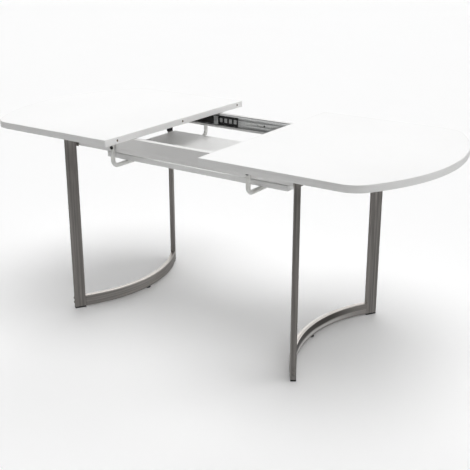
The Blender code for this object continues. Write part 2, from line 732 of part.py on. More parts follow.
def add_moving_members(steel, black):
    for side, way_x in SIDES:
        start, end = sorted((way_x * SEAM, way_x * (RUNNER_END - SEAT)))
        for face, way_y in FACES:
            name = f"runner_member_{face}_{side}"
            add_object(name, loft_mesh(name, section_along_x(member_profile(), start, end, way_y)), steel)
            name = f"runner_angle_{face}_{side}"
            near, far = sorted((way_x * (SEAM + ANGLE_SETBACK), way_x * (RUNNER_END - SEAT)))
            mesh = loft_mesh(name, section_along_x(angle_profile(), near, far, way_y))
            angle = add_object(name, mesh, black)
            tip = SEAM + ANGLE_SETBACK - SEAT
            wedge = [
                [(way_x * (tip + along), way_y * y, UNDERSIDE + rise) for along, rise in (
                    (0, SEAT), (ANGLE_CUT[0], SEAT), (0, -ANGLE_CUT[1]))]
                for y in (APRON_INNER, APRON_INNER - 2 * ANGLE_WIDTH)
            ]
            apply_tool(angle, add_tool(f"cut_corner_{face}_{side}", loft_mesh("wedge", wedge)))


def add_cages(black):
    """Ball cages: windowed channels with a row of balls along each flange."""
    count = int(CAGE_LENGTH / CAGE_PITCH)
    profile = channel_profile(CAGE_BACK, CAGE_DEPTH, 2 * BALL_ROW + CAGE_SHEET, CAGE_SHEET)
    ball_depth = CAGE_DEPTH - BALL_RADIUS / 2
    for side, way_x in SIDES:
        inner = way_x * (SEAM - CAGE_SHOWS[side])
        start, end = sorted((inner, inner + way_x * CAGE_LENGTH))
        middles = [inner + way_x * CAGE_PITCH * (i + 0.6) for i in range(count)]
        for face, way_y in FACES:
            def build_windows(form):
                for x in middles:
                    size = (CAGE_WINDOW[0], 4 * CAGE_SHEET, CAGE_WINDOW[1], 1)
                    middle = (x, way_y * (APRON_INNER - CAGE_BACK - CAGE_SHEET / 2), RUNNER_Z)
                    place = Matrix.Translation(middle) @ Matrix.Diagonal(size)
                    bmesh.ops.create_cube(form, size=1, matrix=place)

            def build_balls(form):
                for x in middles[::2]:
                    for level in (-1, 1):
                        middle = (x, way_y * (APRON_INNER - ball_depth), RUNNER_Z + level * BALL_ROW)
                        bmesh.ops.create_uvsphere(
                            form, u_segments=6, v_segments=4, radius=BALL_RADIUS,
                            matrix=Matrix.Translation(middle))

            name = f"runner_cage_{face}_{side}"
            cage = add_object(name, loft_mesh(name, section_along_x(profile, start, end, way_y)), black)
            windows = mesh_from(build_windows, "windows")
            balls = mesh_from(build_balls, "balls")
            apply_tool(cage, add_tool(f"cut_windows_{face}_{side}", windows))
            apply_tool(cage, add_tool(f"join_balls_{face}_{side}", balls), "UNION")


def main():
    clear_scene()
    white = make_material("white_board", (0.86, 0.86, 0.85), 0.35)
    rod_white = make_material("white_paint", (0.80, 0.80, 0.78), 0.40)
    steel = make_material("brushed_steel", (0.36, 0.35, 0.33), 0.38, 1.0)
    zinc = make_material("zinc_steel", (0.62, 0.62, 0.61), 0.32, 1.0)
    black = make_material("black_plastic", (0.02, 0.02, 0.02), 0.45)
    black_steel = make_material("black_steel", (0.03, 0.03, 0.03), 0.50, 0.6)
    add_tops(white)
    add_pins(zinc)
    add_catches(black)
    add_aprons(white)
    add_end_rails(steel)
    add_leg_plates(steel)
    add_posts(steel, black)
    add_foot_screws(steel)
    add_foot_bars(steel, black)
    add_rods(rod_white)
    add_rod_screws(black)
    add_shelf(white)
    add_channels(zinc, zinc)
    add_moving_members(zinc, black_steel)
    add_cages(black)


main()
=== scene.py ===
"""Looks for an extending dining table: white lacquered halves pulled apart over a white apron frame,
brushed steel legs with curved foot bars, ball-bearing runners and a storage board on two rods.

Metres, +Z up, X along the table, front at -Y. Every piece rides on the body of the node it replaces.
"""

import json
import math

import bmesh
import bpy
from mathutils import Matrix, Vector

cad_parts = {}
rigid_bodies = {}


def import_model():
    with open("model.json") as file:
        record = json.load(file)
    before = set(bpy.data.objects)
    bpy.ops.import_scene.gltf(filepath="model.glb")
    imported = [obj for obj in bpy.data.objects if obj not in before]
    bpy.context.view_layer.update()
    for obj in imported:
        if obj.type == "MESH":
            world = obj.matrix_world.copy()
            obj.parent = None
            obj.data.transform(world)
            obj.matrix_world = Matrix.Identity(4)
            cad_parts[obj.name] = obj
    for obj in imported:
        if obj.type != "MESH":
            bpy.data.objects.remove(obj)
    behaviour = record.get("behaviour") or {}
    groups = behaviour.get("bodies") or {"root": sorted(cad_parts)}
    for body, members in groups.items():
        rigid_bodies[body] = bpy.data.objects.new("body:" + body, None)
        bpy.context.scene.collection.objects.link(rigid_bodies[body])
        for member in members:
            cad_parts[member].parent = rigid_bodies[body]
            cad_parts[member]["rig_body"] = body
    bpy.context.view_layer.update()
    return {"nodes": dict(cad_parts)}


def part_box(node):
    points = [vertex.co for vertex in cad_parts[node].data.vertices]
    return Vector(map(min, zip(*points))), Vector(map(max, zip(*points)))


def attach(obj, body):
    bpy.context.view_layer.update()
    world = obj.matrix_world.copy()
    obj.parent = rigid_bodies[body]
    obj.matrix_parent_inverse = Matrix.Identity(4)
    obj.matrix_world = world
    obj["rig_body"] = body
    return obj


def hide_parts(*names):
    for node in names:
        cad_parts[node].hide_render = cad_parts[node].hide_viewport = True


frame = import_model()

SIDES = (("left", -1), ("right", 1))
FACES = (("front", -1), ("back", 1))
CORNERS = [(face, way_y, side, way_x) for face, way_y in FACES for side, way_x in SIDES]

# Plan of a top half, measured from its seam
CORNER_RADIUS = 0.090
END_RADIUS = 0.657
EDGE_BAND = 0.0011
EDGE_ROUND = 0.0009
BAND_JOINT_WIDTH = 0.00014
BAND_JOINT_DEPTH = 0.00010
CORNER_STEPS = 20
END_STEPS = 72

# Legs
POST_WIDTH = 0.043
POST_DEPTH = 0.0195
POST_ROUND = 0.0024
POST_WALL = 0.002
POST_OPENING_DEPTH = 0.022
FOOT_BAR_RADIUS = 0.500
FOOT_BAR_STEPS = 72
LEG_GAP = 0.0003

# Pins and their holes
PINS = ("front", "middle", "back")
PIN_HOLE_RADIUS = 0.0043
PIN_HOLE_DEPTH = 0.016
PIN_CHAMFER = 0.0009

# Storage rods
ROD_RADIUS = 0.008
ROD_BEND = 0.025
ROD_BEND_STEPS = 12
ROD_FLAT_LENGTH = 0.032
ROD_FLAT_FADE = 0.012
ROD_FLAT_DEPTH = 0.0035

# Runners
CHANNEL_SHEET = 0.0018
RACEWAY_RISE = 0.0135
RACEWAY_WIDTH = 0.0050
RACEWAY_DEPTH = 0.0010
SLOT_HEIGHT = 0.0065
CHANNEL_SLOTS = ((-0.160, -0.125), (-0.012, 0.006), (0.052, 0.088), (0.200, 0.235), (-0.300, -0.265))
CAGE_SHEET = 0.0012
CAGE_PITCH = 0.023
CAGE_WINDOW = (0.015, 0.018)
CAGE_WINDOW_CORNER = 0.003
BALL_RADIUS = 0.0018

# Studio
FLOOR_SIZE = 80.0
WALL_RADIUS = 18.0
WALL_HEIGHT = 30.0
ROOM_BELOW = 0.27
ROOM_ABOVE = 0.12
HORIZON_BLUR = 0.05
SCREEN_TOWARDS = (-0.52, 0.76, 0.40)
SCREEN_BRIGHTNESS = 1.5
SCREEN_INNER_DEGREES = 20
SCREEN_OUTER_DEGREES = 42
SUN_SPREAD_DEGREES = 50.0
SUNS = (("overhead", (0.3, -0.1, 4.0), 1.80), ("from_right", (3.0, 2.0, 1.7), 0.90))
CAMERA_PLACE = (1.7032, -2.4211, 1.4294)
CAMERA_AZIMUTH_DEGREES = 34.275
CAMERA_DOWN_DEGREES = 17.845
CAMERA_LENS = 62.75
CAMERA_SHIFT = -0.0837


# ---------------------------------------------------------------------------------------------
# Shader nodes


class Number:
    """A shader value. Sums on it add Math nodes to its finish."""

    def __init__(self, finish, socket):
        self.finish = finish
        self.socket = socket

    def math(self, operation, first, second=None):
        inputs = {0: first} if second is None else {0: first, 1: second}
        made = self.finish.node("ShaderNodeMath", {"operation": operation}, inputs)
        return Number(self.finish, made.outputs[0])

    def __add__(self, other):
        return self.math("ADD", self, other)

    def __radd__(self, other):
        return self.math("ADD", other, self)

    def __sub__(self, other):
        return self.math("SUBTRACT", self, other)

    def __rsub__(self, other):
        return self.math("SUBTRACT", other, self)

    def __mul__(self, other):
        return self.math("MULTIPLY", self, other)

    def __rmul__(self, other):
        return self.math("MULTIPLY", other, self)

    def root(self):
        return self.math("SQRT", self)

    def size(self):
        return self.math("ABSOLUTE", self)

    def angle_to(self, other):
        return self.math("ARCTAN2", self, other)

    def ramp(self, low, high):
        """0 below low, 1 above high, smooth between."""
        made = self.finish.node(
            "ShaderNodeMapRange", {"interpolation_type": "SMOOTHSTEP", "clamp": True},
            {"Value": self, "From Min": low, "From Max": high})
        return Number(self.finish, made.outputs[0])


class Finish:
    """A material under construction, on a Principled shader."""

    def __init__(self, name):
        self.material = bpy.data.materials.new(name)
        self.material.use_nodes = True
        self.tree = self.material.node_tree
        self.shader = self.tree.nodes["Principled BSDF"]
        coordinates = self.node("ShaderNodeTexCoord")
        self.place = coordinates.outputs["Object"]
        parts = self.node("ShaderNodeSeparateXYZ", {}, {0: self.place})
        self.x, self.y, self.z = (Number(self, socket) for socket in parts.outputs)

    def link(self, value, socket):
        if isinstance(value, Number):
            value = value.socket
        if isinstance(value, bpy.types.NodeSocket):
            self.tree.links.new(value, socket)
        else:
            socket.default_value = value

    def node(self, kind, settings=None, inputs=None):
        made = self.tree.nodes.new(kind)
        for key, value in (settings or {}).items():
            setattr(made, key, value)
        for key, value in (inputs or {}).items():
            self.link(value, made.inputs[key])
        return made

    def vector(self, x, y, z):
        made = self.node("ShaderNodeCombineXYZ", {}, {0: x, 1: y, 2: z})
        return made.outputs[0]

    def noise(self, scale, detail=2.0, roughness=0.5, place=None):
        made = self.node(
            "ShaderNodeTexNoise", {"noise_dimensions": "3D"},
            {"Vector": place or self.place, "Scale": scale, "Detail": detail, "Roughness": roughness})
        return Number(self, made.outputs[0])

    def cells(self, scale):
        made = self.node("ShaderNodeTexVoronoi", {"feature": "F1"}, {"Vector": self.place, "Scale": scale})
        return Number(self, made.outputs["Distance"])

    def mix(self, share, first, second):
        """Two colours, each three numbers or a socket, mixed by share."""
        colours = [(*c, 1.0) if isinstance(c, (tuple, list)) else c for c in (first, second)]
        made = self.node(
            "ShaderNodeMix", {"data_type": "RGBA"},
            {"Factor": share, 6: colours[0], 7: colours[1]})
        return made.outputs[2]

    def bump(self, height, strength, distance, below=None):
        inputs = {"Height": height, "Strength": strength, "Distance": distance}
        if below is not None:
            inputs["Normal"] = below
        return self.node("ShaderNodeBump", {}, inputs).outputs[0]

    def done(self, **inputs):
        for key, value in inputs.items():
            self.link(value, self.shader.inputs[key.replace("_", " ").title()])
        return self.material


def lacquer_finish(name, light, shade, gloss, peel=0.00002):
    """Satin lacquer on board: a fine orange peel, faint cloudiness and soft handling marks."""
    finish = Finish(name)
    clouds = finish.noise(2.3, 3.0)
    marks = finish.noise(34.0, 4.0, 0.62)
    ripple = finish.noise(950.0, 1.0)
    waves = finish.noise(60.0, 2.0)
    colour = finish.mix(clouds.ramp(0.35, 0.7), light, shade)
    colour = finish.mix(marks.ramp(0.66, 0.82) * 0.35, colour, tuple(c * 0.93 for c in shade))
    rough = gloss + (clouds - 0.5) * 0.10 + marks.ramp(0.5, 0.8) * 0.10
    normal = finish.bump(ripple, 0.25, peel)
    normal = finish.bump(waves, 0.12, peel * 4, normal)
    return finish.done(base_color=colour, roughness=rough, normal=normal)


def edge_band_finish():
    """White plastic edging with the fine lines its trimmer leaves along it."""
    finish = Finish("white_edging")
    lines = finish.noise(1.0, 2.0, place=finish.vector(finish.x * 9, finish.y * 9, finish.z * 2600))
    scuffs = finish.noise(52.0, 3.0, 0.6)
    colour = finish.mix(lines.ramp(0.3, 0.75), (0.80, 0.80, 0.79), (0.76, 0.76, 0.75))
    colour = finish.mix(scuffs.ramp(0.70, 0.84) * 0.5, colour, (0.62, 0.62, 0.61))
    rough = 0.40 + lines * 0.10
    return finish.done(base_color=colour, roughness=rough, normal=finish.bump(lines, 0.25, 0.00003))


def core_finish():
    """Bare chipboard inside a drilled hole."""
    finish = Finish("chipboard_core")
    chips = finish.cells(900.0)
    colour = finish.mix(chips.ramp(0.2, 0.9), (0.46, 0.38, 0.29), (0.26, 0.20, 0.15))
    normal = finish.bump(chips, 0.6, 0.0002)
    return finish.done(base_color=colour, roughness=0.8 + chips * 0.1, normal=normal)


def steel_finish(name, run):
    """Brushed steel. run is the way the brush went: "z", "y", or round the arc with this centre x."""
    finish = Finish(name)
    curved = run not in ("z", "y")
    if run == "z":
        along, across = finish.z, (finish.x, finish.y)
    elif run == "y":
        along, across = finish.y, (finish.x, finish.z)
    else:
        east = finish.x - run
        radius = (east * east + finish.y * finish.y).root()
        along, across = finish.y.angle_to(east.size()) * FOOT_BAR_RADIUS, (radius, finish.z)

    def streaks(fine, long, detail, roughness):
        place = finish.vector(across[0] * fine, across[1] * fine, along * long)
        return finish.noise(1.0, detail, roughness, place)

    hair = streaks(1700, 9.0, 3.0, 0.65)
    bands = streaks(430, 3.5, 2.0, 0.6)
    drags = streaks(120, 1.6, 2.0, 0.6)
    clouds = streaks(34, 5.0, 3.0, 0.6)
    dark = (0.268, 0.253, 0.240)
    light = (0.770, 0.732, 0.696)
    share = hair.ramp(0.3, 0.7) * 0.25 + bands.ramp(0.28, 0.72) * 0.35 + drags.ramp(0.34, 0.66) * 0.40
    colour = finish.mix(share, dark, light)
    colour = finish.mix(clouds.ramp(0.50, 0.72) * 0.40, colour, (0.325, 0.303, 0.284))
    if run == "z":
        # Painted shade: the posts are darkened towards the top, where the tabletop shades them.
        colour = finish.mix(finish.z.ramp(0.50, 0.75) * 0.55, colour, dark)
    rough = 0.24 + hair * 0.16 + bands * 0.08 + drags * 0.06 + clouds * 0.06
    metal = 1.0
    if curved:
        # Painted reflection on the hollow side of a foot bar: painted dark above, with a painted bright
        # gleam low down. That side is also smoother, as polished steel.
        low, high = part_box("foot_bar_right")
        rise = (finish.z - low.z) * (1 / (high.z - low.z))
        painted_reflection_side = (FOOT_BAR_RADIUS - radius).ramp(POST_DEPTH * 0.38, POST_DEPTH * 0.47) * (
            1 - finish.y.ramp(0.10, 0.28) * 0.85)
        wander = (clouds - 0.5) * 0.20
        dim = (rise + wander).ramp(0.44, 0.56) * painted_reflection_side
        painted_gleam = ((rise + wander).ramp(0.12, 0.20) - (rise + wander).ramp(0.34, 0.46)) * painted_reflection_side
        # Painted reflection colours: a dark band above and a bright gleam below.
        colour = finish.mix(dim * 0.85, colour, (0.10, 0.092, 0.085))
        colour = finish.mix(painted_gleam * 0.85, colour, (0.86, 0.85, 0.83))
        metal = 1 - painted_gleam * 0.75
        rough = rough - painted_reflection_side * 0.10
    normal = finish.bump(hair, 0.35, 0.00004)
    return finish.done(base_color=colour, metallic=metal, roughness=rough, normal=normal)


def powder_finish():
    """White powder coat on the rods."""
    finish = Finish("white_powder_coat")
    grain = finish.cells(1500.0)
    clouds = finish.noise(40.0, 2.0)
    colour = finish.mix(clouds.ramp(0.4, 0.7), (0.76, 0.76, 0.735), (0.70, 0.70, 0.675))
    rough = 0.34 + clouds * 0.12
    return finish.done(base_color=colour, roughness=rough, normal=finish.bump(grain, 0.35, 0.00005))


def zinc_finish():
    """Bright zinc plate with drawing lines along the runner."""
    finish = Finish("zinc_plate")
    lines = finish.noise(1.0, 3.0, 0.6, finish.vector(finish.x * 8, finish.y * 1400, finish.z * 1400))
    spangle = finish.cells(260.0)
    colour = finish.mix(spangle.ramp(0.15, 0.8), (0.66, 0.67, 0.67), (0.52, 0.53, 0.54))
    colour = finish.mix(lines.ramp(0.35, 0.8) * 0.4, colour, (0.78, 0.77, 0.74))
    rough = 0.22 + lines * 0.16 + spangle * 0.06
    normal = finish.bump(lines, 0.3, 0.00003)
    return finish.done(base_color=colour, metallic=1.0, roughness=rough, normal=normal)


def black_finish(name, colour, rough, metallic=0.0):
    """Black moulded plastic or lacquered steel with a fine texture and paler rubbed spots."""
    finish = Finish(name)
    grain = finish.noise(1700.0, 2.0)
    rubbed = finish.noise(70.0, 4.0, 0.6)
    paler = tuple(min(1.0, c * 2.6 + 0.01) for c in colour)
    tint = finish.mix(rubbed.ramp(0.58, 0.80), colour, paler)
    return finish.done(
        base_color=tint, metallic=metallic, roughness=rough + grain * 0.12,
        normal=finish.bump(grain, 0.3, 0.00005))


def ball_finish():
    """Hardened steel balls under a film of grease."""
    finish = Finish("ball_steel")
    film = finish.noise(800.0, 2.0)
    colour = finish.mix(film.ramp(0.45, 0.75), (0.80, 0.80, 0.80), (0.55, 0.52, 0.44))
    return finish.done(base_color=colour, metallic=1.0, roughness=0.10 + film * 0.14)


def backdrop_finish():
    """A pale glowing wall, barely mottled."""
    finish = Finish("studio_backdrop")
    tone = finish.noise(0.05, 2.0)
    glow = finish.mix(tone, (0.90, 0.90, 0.90), (0.93, 0.93, 0.93))
    return finish.done(
        base_color=(0.0, 0.0, 0.0, 1.0), roughness=1.0, emission_color=glow, emission_strength=1.0)


def floor_finish():
    """Pale matt paper, barely mottled."""
    finish = Finish("studio_floor")
    tone = finish.noise(0.7, 2.0)
    colour = finish.mix(tone, (0.955, 0.955, 0.955), (0.97, 0.97, 0.97))
    return finish.done(base_color=colour, roughness=0.75)


# ---------------------------------------------------------------------------------------------
# Modelling


def deselect():
    if bpy.context.object and bpy.context.object.mode != "OBJECT":
        bpy.ops.object.mode_set(mode="OBJECT")
    bpy.ops.object.select_all(action="DESELECT")


def choose(piece):
    deselect()
    piece.select_set(True)
    bpy.context.view_layer.objects.active = piece


def edit(piece):
    choose(piece)
    bpy.ops.object.mode_set(mode="EDIT")


def leave():
    bpy.ops.object.mode_set(mode="OBJECT")


def select_all():
    bpy.ops.mesh.select_all(action="SELECT")


def face_out():
    """In edit mode, turns every face outwards."""
    select_all()
    bpy.ops.mesh.normals_make_consistent(inside=False)


def apply_transform():
    bpy.ops.object.transform_apply(location=True, rotation=True, scale=True)


def extrude(x, y, z):
    """In edit mode, extrudes the selection by a vector."""
    bpy.ops.mesh.extrude_region_move(TRANSFORM_OT_translate={"value": (x, y, z)})


def runs_along(edge, axis, least):
    """Whether an edge is longer than least along axis 0, 1 or 2."""
    return abs(edge.verts[0].co[axis] - edge.verts[1].co[axis]) > least


def pick(piece, kind, test):
    """In edit mode, selects the vertices, edges or faces that pass the test, and says how many."""
    bpy.ops.mesh.select_mode(type=kind)
    bpy.ops.mesh.select_all(action="DESELECT")
    form = bmesh.from_edit_mesh(piece.data)
    form.normal_update()
    parts = {"VERT": form.verts, "EDGE": form.edges, "FACE": form.faces}[kind]
    count = 0
    for part in parts:
        if test(part):
            part.select_set(True)
            count += 1
    form.select_flush_mode()
    bmesh.update_edit_mesh(piece.data)
    return count


def corner_angle(edge):
    return math.degrees(edge.calc_face_angle(0.0))


def add_box(name, low, high):
    """A cube brought to a size and place, ready to be shaped."""
    low, high = Vector(low), Vector(high)
    deselect()
    bpy.ops.mesh.primitive_cube_add(size=1, location=(low + high) / 2)
    piece = bpy.context.object
    piece.name = name
    piece.scale = high - low
    apply_transform()
    return piece


def add_drum(name, radius, depth, sides=32):
    """A cylinder standing on the origin."""
    deselect()
    bpy.ops.mesh.primitive_cylinder_add(
        vertices=sides, radius=radius, depth=depth, location=(0, 0, depth / 2))
    piece = bpy.context.object
    piece.name = name
    apply_transform()
    return piece


def bevel(piece, test, width, segments=3):
    edit(piece)
    if pick(piece, "EDGE", test):
        bpy.ops.mesh.bevel(offset=width, segments=segments, affect="EDGES", clamp_overlap=True)
    leave()


def sweep(angle, steps, centre, axis):
    """In edit mode, spins the selection by a right-handed angle about an axis."""
    bpy.ops.mesh.spin(steps=steps, angle=-angle, center=centre, axis=axis)


def modify(piece, kind, **settings):
    choose(piece)
    modifier = piece.modifiers.new(kind.lower(), kind)
    for key, value in settings.items():
        setattr(modifier, key, value)
    bpy.ops.object.modifier_apply(modifier=modifier.name)


def cut(piece, cutter, operation="DIFFERENCE"):
    """Cuts a cutter out of a piece, or joins it on, and deletes the cutter."""
    modify(piece, "BOOLEAN", object=cutter, operation=operation, solver="EXACT")
    bpy.data.objects.remove(cutter)


def join(first, second):
    """Puts the second object's mesh into the first, or starts with the second."""
    if first is None:
        return second
    choose(first)
    second.select_set(True)
    bpy.ops.object.join()
    return bpy.context.object


def settle(piece, finishes, body, nodes, angle=32):
    """Gives a finished piece its finish, its body and the nodes it stands for."""
    choose(piece)
    apply_transform()
    bpy.ops.object.shade_smooth_by_angle(angle=math.radians(angle))
    if not piece.data.materials:
        for finish in finishes:
            piece.data.materials.append(finish)
    piece.data.name = piece.name
    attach(piece, body)
    if nodes:
        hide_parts(*nodes)
    return piece


def body_of(node):
    return frame["nodes"][node]["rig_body"]


def copy_node(node, name):
    """A merged copy of a node, its flat faces whole again."""
    source = frame["nodes"][node]
    piece = bpy.data.objects.new(name, source.data.copy())
    bpy.context.scene.collection.objects.link(piece)
    piece.data.materials.clear()
    edit(piece)
    select_all()
    bpy.ops.mesh.remove_doubles(threshold=0.000005)
    bpy.ops.mesh.dissolve_limited(angle_limit=math.radians(0.5))
    leave()
    return piece


def dress(node, name, finish, width=0.0005, segments=2, limit=40):
    """A node's own shape with its edges eased and a fine finish."""
    piece = copy_node(node, name)
    modify(piece, "BEVEL", width=width, segments=segments, limit_method="ANGLE",
           angle_limit=math.radians(limit), harden_normals=False)
    return settle(piece, [finish], body_of(node), [node], angle=30)


def turn_to(piece, place, outward):
    """Moves a piece that stands on the origin so that its +Z points outward at a place."""
    choose(piece)
    turn = Vector(outward).to_track_quat("Z", "Y").to_matrix().to_4x4()
    piece.matrix_world = Matrix.Translation(Vector(place)) @ turn
    apply_transform()


# ---------------------------------------------------------------------------------------------
# Tabletop


def build_top(side, way, finishes):
    """One half: a plan drawn by spinning its corner and its bowed end, then raised and edged."""
    node = f"table_top_{side}"
    low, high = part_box(node)
    seam, tip = (high.x, low.x) if way < 0 else (low.x, high.x)
    half_width = (high.y - low.y) / 2
    corner_y = half_width - CORNER_RADIUS
    end_x = abs(tip) - END_RADIUS
    corner_x = end_x + math.sqrt((END_RADIUS - CORNER_RADIUS) ** 2 - corner_y ** 2)
    meet = math.atan2(corner_y, corner_x - end_x)
    deselect()
    bpy.ops.mesh.primitive_plane_add(size=1, location=((abs(seam) + corner_x) / 2, 0, low.z))
    top = bpy.context.object
    top.name = f"top_board_{side}"
    top.scale = (corner_x - abs(seam), 2 * half_width, 1)
    apply_transform()
    edit(top)
    select_all()
    bpy.ops.mesh.delete(type="ONLY_FACE")
    pick(top, "EDGE", lambda e: all(v.co.x > corner_x - 1e-4 for v in e.verts))
    bpy.ops.mesh.delete(type="EDGE")
    pick(top, "VERT", lambda v: v.co.x > corner_x - 1e-4 and v.co.y > 0)
    for centre_x, centre_y, angle, steps in (
        (corner_x, corner_y, math.pi / 2 - meet, CORNER_STEPS),
        (end_x, 0.0, 2 * meet, END_STEPS),
        (corner_x, -corner_y, math.pi / 2 - meet, CORNER_STEPS),
    ):
        sweep(-angle, steps, (centre_x, centre_y, low.z), (0, 0, 1))
    select_all()
    bpy.ops.mesh.remove_doubles(threshold=0.00002)
    select_all()
    bpy.ops.mesh.edge_face_add()
    extrude(0, 0, high.z - low.z)
    leave()
    if way < 0:
        choose(top)
        top.scale = (-1, 1, 1)
        apply_transform()
    edit(top)
    face_out()
    leave()
    bevel(top, lambda e: corner_angle(e) > 60, EDGE_ROUND, 3)
    for finish in finishes:
        top.data.materials.append(finish)
    edit(top)
    for level, way_z in ((high.z, 1), (low.z, -1)):
        pick(top, "FACE", lambda f: f.normal.z * way_z > 0.99 and len(f.verts) > 20)
        bpy.ops.mesh.inset(thickness=EDGE_BAND, depth=0)
        bpy.ops.mesh.inset(thickness=BAND_JOINT_WIDTH, depth=-BAND_JOINT_DEPTH)
        bpy.ops.mesh.inset(thickness=BAND_JOINT_WIDTH, depth=BAND_JOINT_DEPTH)
    leave()
    for face in top.data.polygons:
        face.material_index = 0 if len(face.vertices) > 20 else 1
        # Painted light: the seam face takes the lighter seam lacquer.
        if way * face.normal.x < -0.99:
            face.material_index = 3
    start = 0.004
    for pin in PINS:
        pin_low, pin_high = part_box(f"alignment_pin_{pin}")
        centre = (pin_low + pin_high) / 2
        depth = PIN_HOLE_DEPTH if way < 0 else pin_high.x - seam
        hole = add_drum("hole", PIN_HOLE_RADIUS, depth + start, 28)
        turn_to(hole, (seam - way * start, centre.y, centre.z), (way, 0, 0))
        hole.data.materials.append(finishes[2])
        cut(top, hole)
    return settle(top, finishes, body_of(node), [node])


def build_pin(place, finish):
    """A round pin with chamfered ends and shallow flutes."""
    node = f"alignment_pin_{place}"
    low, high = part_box(node)
    radius, length = (high.z - low.z) / 2, high.x - low.x
    pin = add_drum(f"dowel_pin_{place}", radius, length, 36)
    bevel(pin, lambda e: corner_angle(e) > 60, PIN_CHAMFER, 2)
    edit(pin)
    pick(pin, "FACE", lambda f: abs(f.normal.z) < 0.1 and int(round(
        math.degrees(math.atan2(f.normal.y, f.normal.x)) / 10 - 0.5)) % 3 == 0)
    bpy.ops.mesh.inset(thickness=0.0001, depth=-0.00022, use_individual=True)
    leave()
    centre = (low + high) / 2
    turn_to(pin, (low.x, centre.y, centre.z), (1, 0, 0))
    return settle(pin, [finish], body_of(node), [node])


# ---------------------------------------------------------------------------------------------
# Legs


def leg_slant():
    """The foot bar's half-angle and the x of its centre, from where the posts stand."""
    low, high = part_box("leg_post_front_right")
    post_x, post_y = (low.x + high.x) / 2, -(low.y + high.y) / 2
    reach = POST_WIDTH / 2 + LEG_GAP
    slope = math.asin(post_y / math.hypot(FOOT_BAR_RADIUS, reach)) - math.atan2(reach, FOOT_BAR_RADIUS)
    centre = post_x + FOOT_BAR_RADIUS * math.cos(slope) - reach * math.sin(slope)
    return slope, centre


def build_post(face, way_y, side, way_x, finish):
    """A flat tube with rounded corners, open at both ends, its cut ends eased."""
    node = f"leg_post_{face}_{side}"
    low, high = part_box(node)
    slope, _ = leg_slant()
    corner = Vector((POST_WIDTH / 2, POST_DEPTH / 2, 0))
    post = add_box(
        f"post_{face}_{side}", Vector((0, 0, low.z)) - corner, Vector((0, 0, high.z)) + corner)
    bevel(post, lambda e: runs_along(e, 2, 0.1), POST_ROUND, 5)
    edit(post)
    for way_z in (1, -1):
        pick(post, "FACE", lambda f: f.normal.z * way_z > 0.99)
        bpy.ops.mesh.inset(thickness=POST_WALL, depth=0)
        extrude(0, 0, -way_z * POST_OPENING_DEPTH)
    leave()
    bevel(post, lambda e: corner_angle(e) > 60 and all(
        abs(v.co.z - low.z) < 1e-4 or abs(v.co.z - high.z) < 1e-4 for v in e.verts), 0.0003, 2)
    choose(post)
    turn = math.atan2(way_y * math.cos(slope), way_x * math.sin(slope))
    post.rotation_euler = (0, 0, turn)
    post.location = ((low.x + high.x) / 2, (low.y + high.y) / 2, 0)
    return settle(post, [finish], body_of(node), [node])


def build_foot_bar(side, way, finish):
    """A flat tube swept round its centre from one post to the other."""
    node = f"foot_bar_{side}"
    low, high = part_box(node)
    slope, centre = leg_slant()
    middle_z = (low.z + high.z) / 2
    deselect()
    bpy.ops.mesh.primitive_plane_add(size=1, location=(0, 0, 0))
    bar = bpy.context.object
    bar.name = f"curved_foot_bar_{side}"
    bar.scale = (POST_DEPTH, high.z - low.z, 1)
    apply_transform()
    edit(bar)
    select_all()
    bpy.ops.mesh.bevel(offset=POST_ROUND, segments=5, affect="VERTICES")
    leave()
    # The profile stands upright across the bar at one end of its arc, and is spun to the other.
    profile = Matrix.Translation((FOOT_BAR_RADIUS, 0, 0)) @ Matrix.Rotation(math.pi / 2, 4, "X")
    bar.matrix_world = Matrix.Rotation(-slope, 4, "Z") @ profile
    choose(bar)
    apply_transform()
    edit(bar)
    select_all()
    sweep(2 * slope, FOOT_BAR_STEPS, (0, 0, 0), (0, 0, 1))
    leave()
    bar.matrix_world = Matrix.Translation((way * centre, 0, middle_z)) @ Matrix.Diagonal((-way, 1, 1, 1))
    choose(bar)
    apply_transform()
    edit(bar)
    face_out()
    leave()
    return settle(bar, [finish], body_of(node), [node])


def build_screw(name, node, outward, finish, sides, socket_sides, socket_share, dome):
    """A screw head with a rolled rim and a driving recess, on its plain shank."""
    low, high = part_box(node)
    outward = Vector(outward).normalized()
    centre = (low + high) / 2
    points = [v.co for v in frame["nodes"][node].data.vertices]
    along = [(p - centre).dot(outward) for p in points]
    across = [((p - centre) - outward * a).length for p, a in zip(points, along)]
    tip, top = min(along), max(along)
    head_radius = max(across)
    seat = min(a for a, r in zip(along, across) if r > head_radius * 0.98)
    shank_radius = max(r for a, r in zip(along, across) if a < seat - 1e-4)
    thickness = top - seat
    head = add_drum(name, head_radius, thickness, sides)
    bevel(head, lambda e: corner_angle(e) > 60 and min(v.co.z for v in e.verts) > thickness * 0.9,
          thickness * dome, 5)
    bevel(head, lambda e: corner_angle(e) > 60 and max(v.co.z for v in e.verts) < thickness * 0.1,
          thickness * 0.08, 2)
    socket = add_drum("socket", head_radius * socket_share, thickness, socket_sides)
    turn_to(socket, (0, 0, thickness * 0.42), (0, 0, 1))
    cut(head, socket)
    shank = add_drum("shank", shank_radius, seat - tip + thickness * 0.3, 20)
    turn_to(shank, (0, 0, tip - seat), (0, 0, 1))
    bevel(shank, lambda e: corner_angle(e) > 60 and max(v.co.z for v in e.verts) < tip - seat + 1e-4,
          shank_radius * 0.3, 2)
    cut(head, shank, "UNION")
    turn_to(head, centre + outward * seat, outward)
    return settle(head, [finish], body_of(node), [node], angle=28)


# ---------------------------------------------------------------------------------------------
# Storage rods and runners


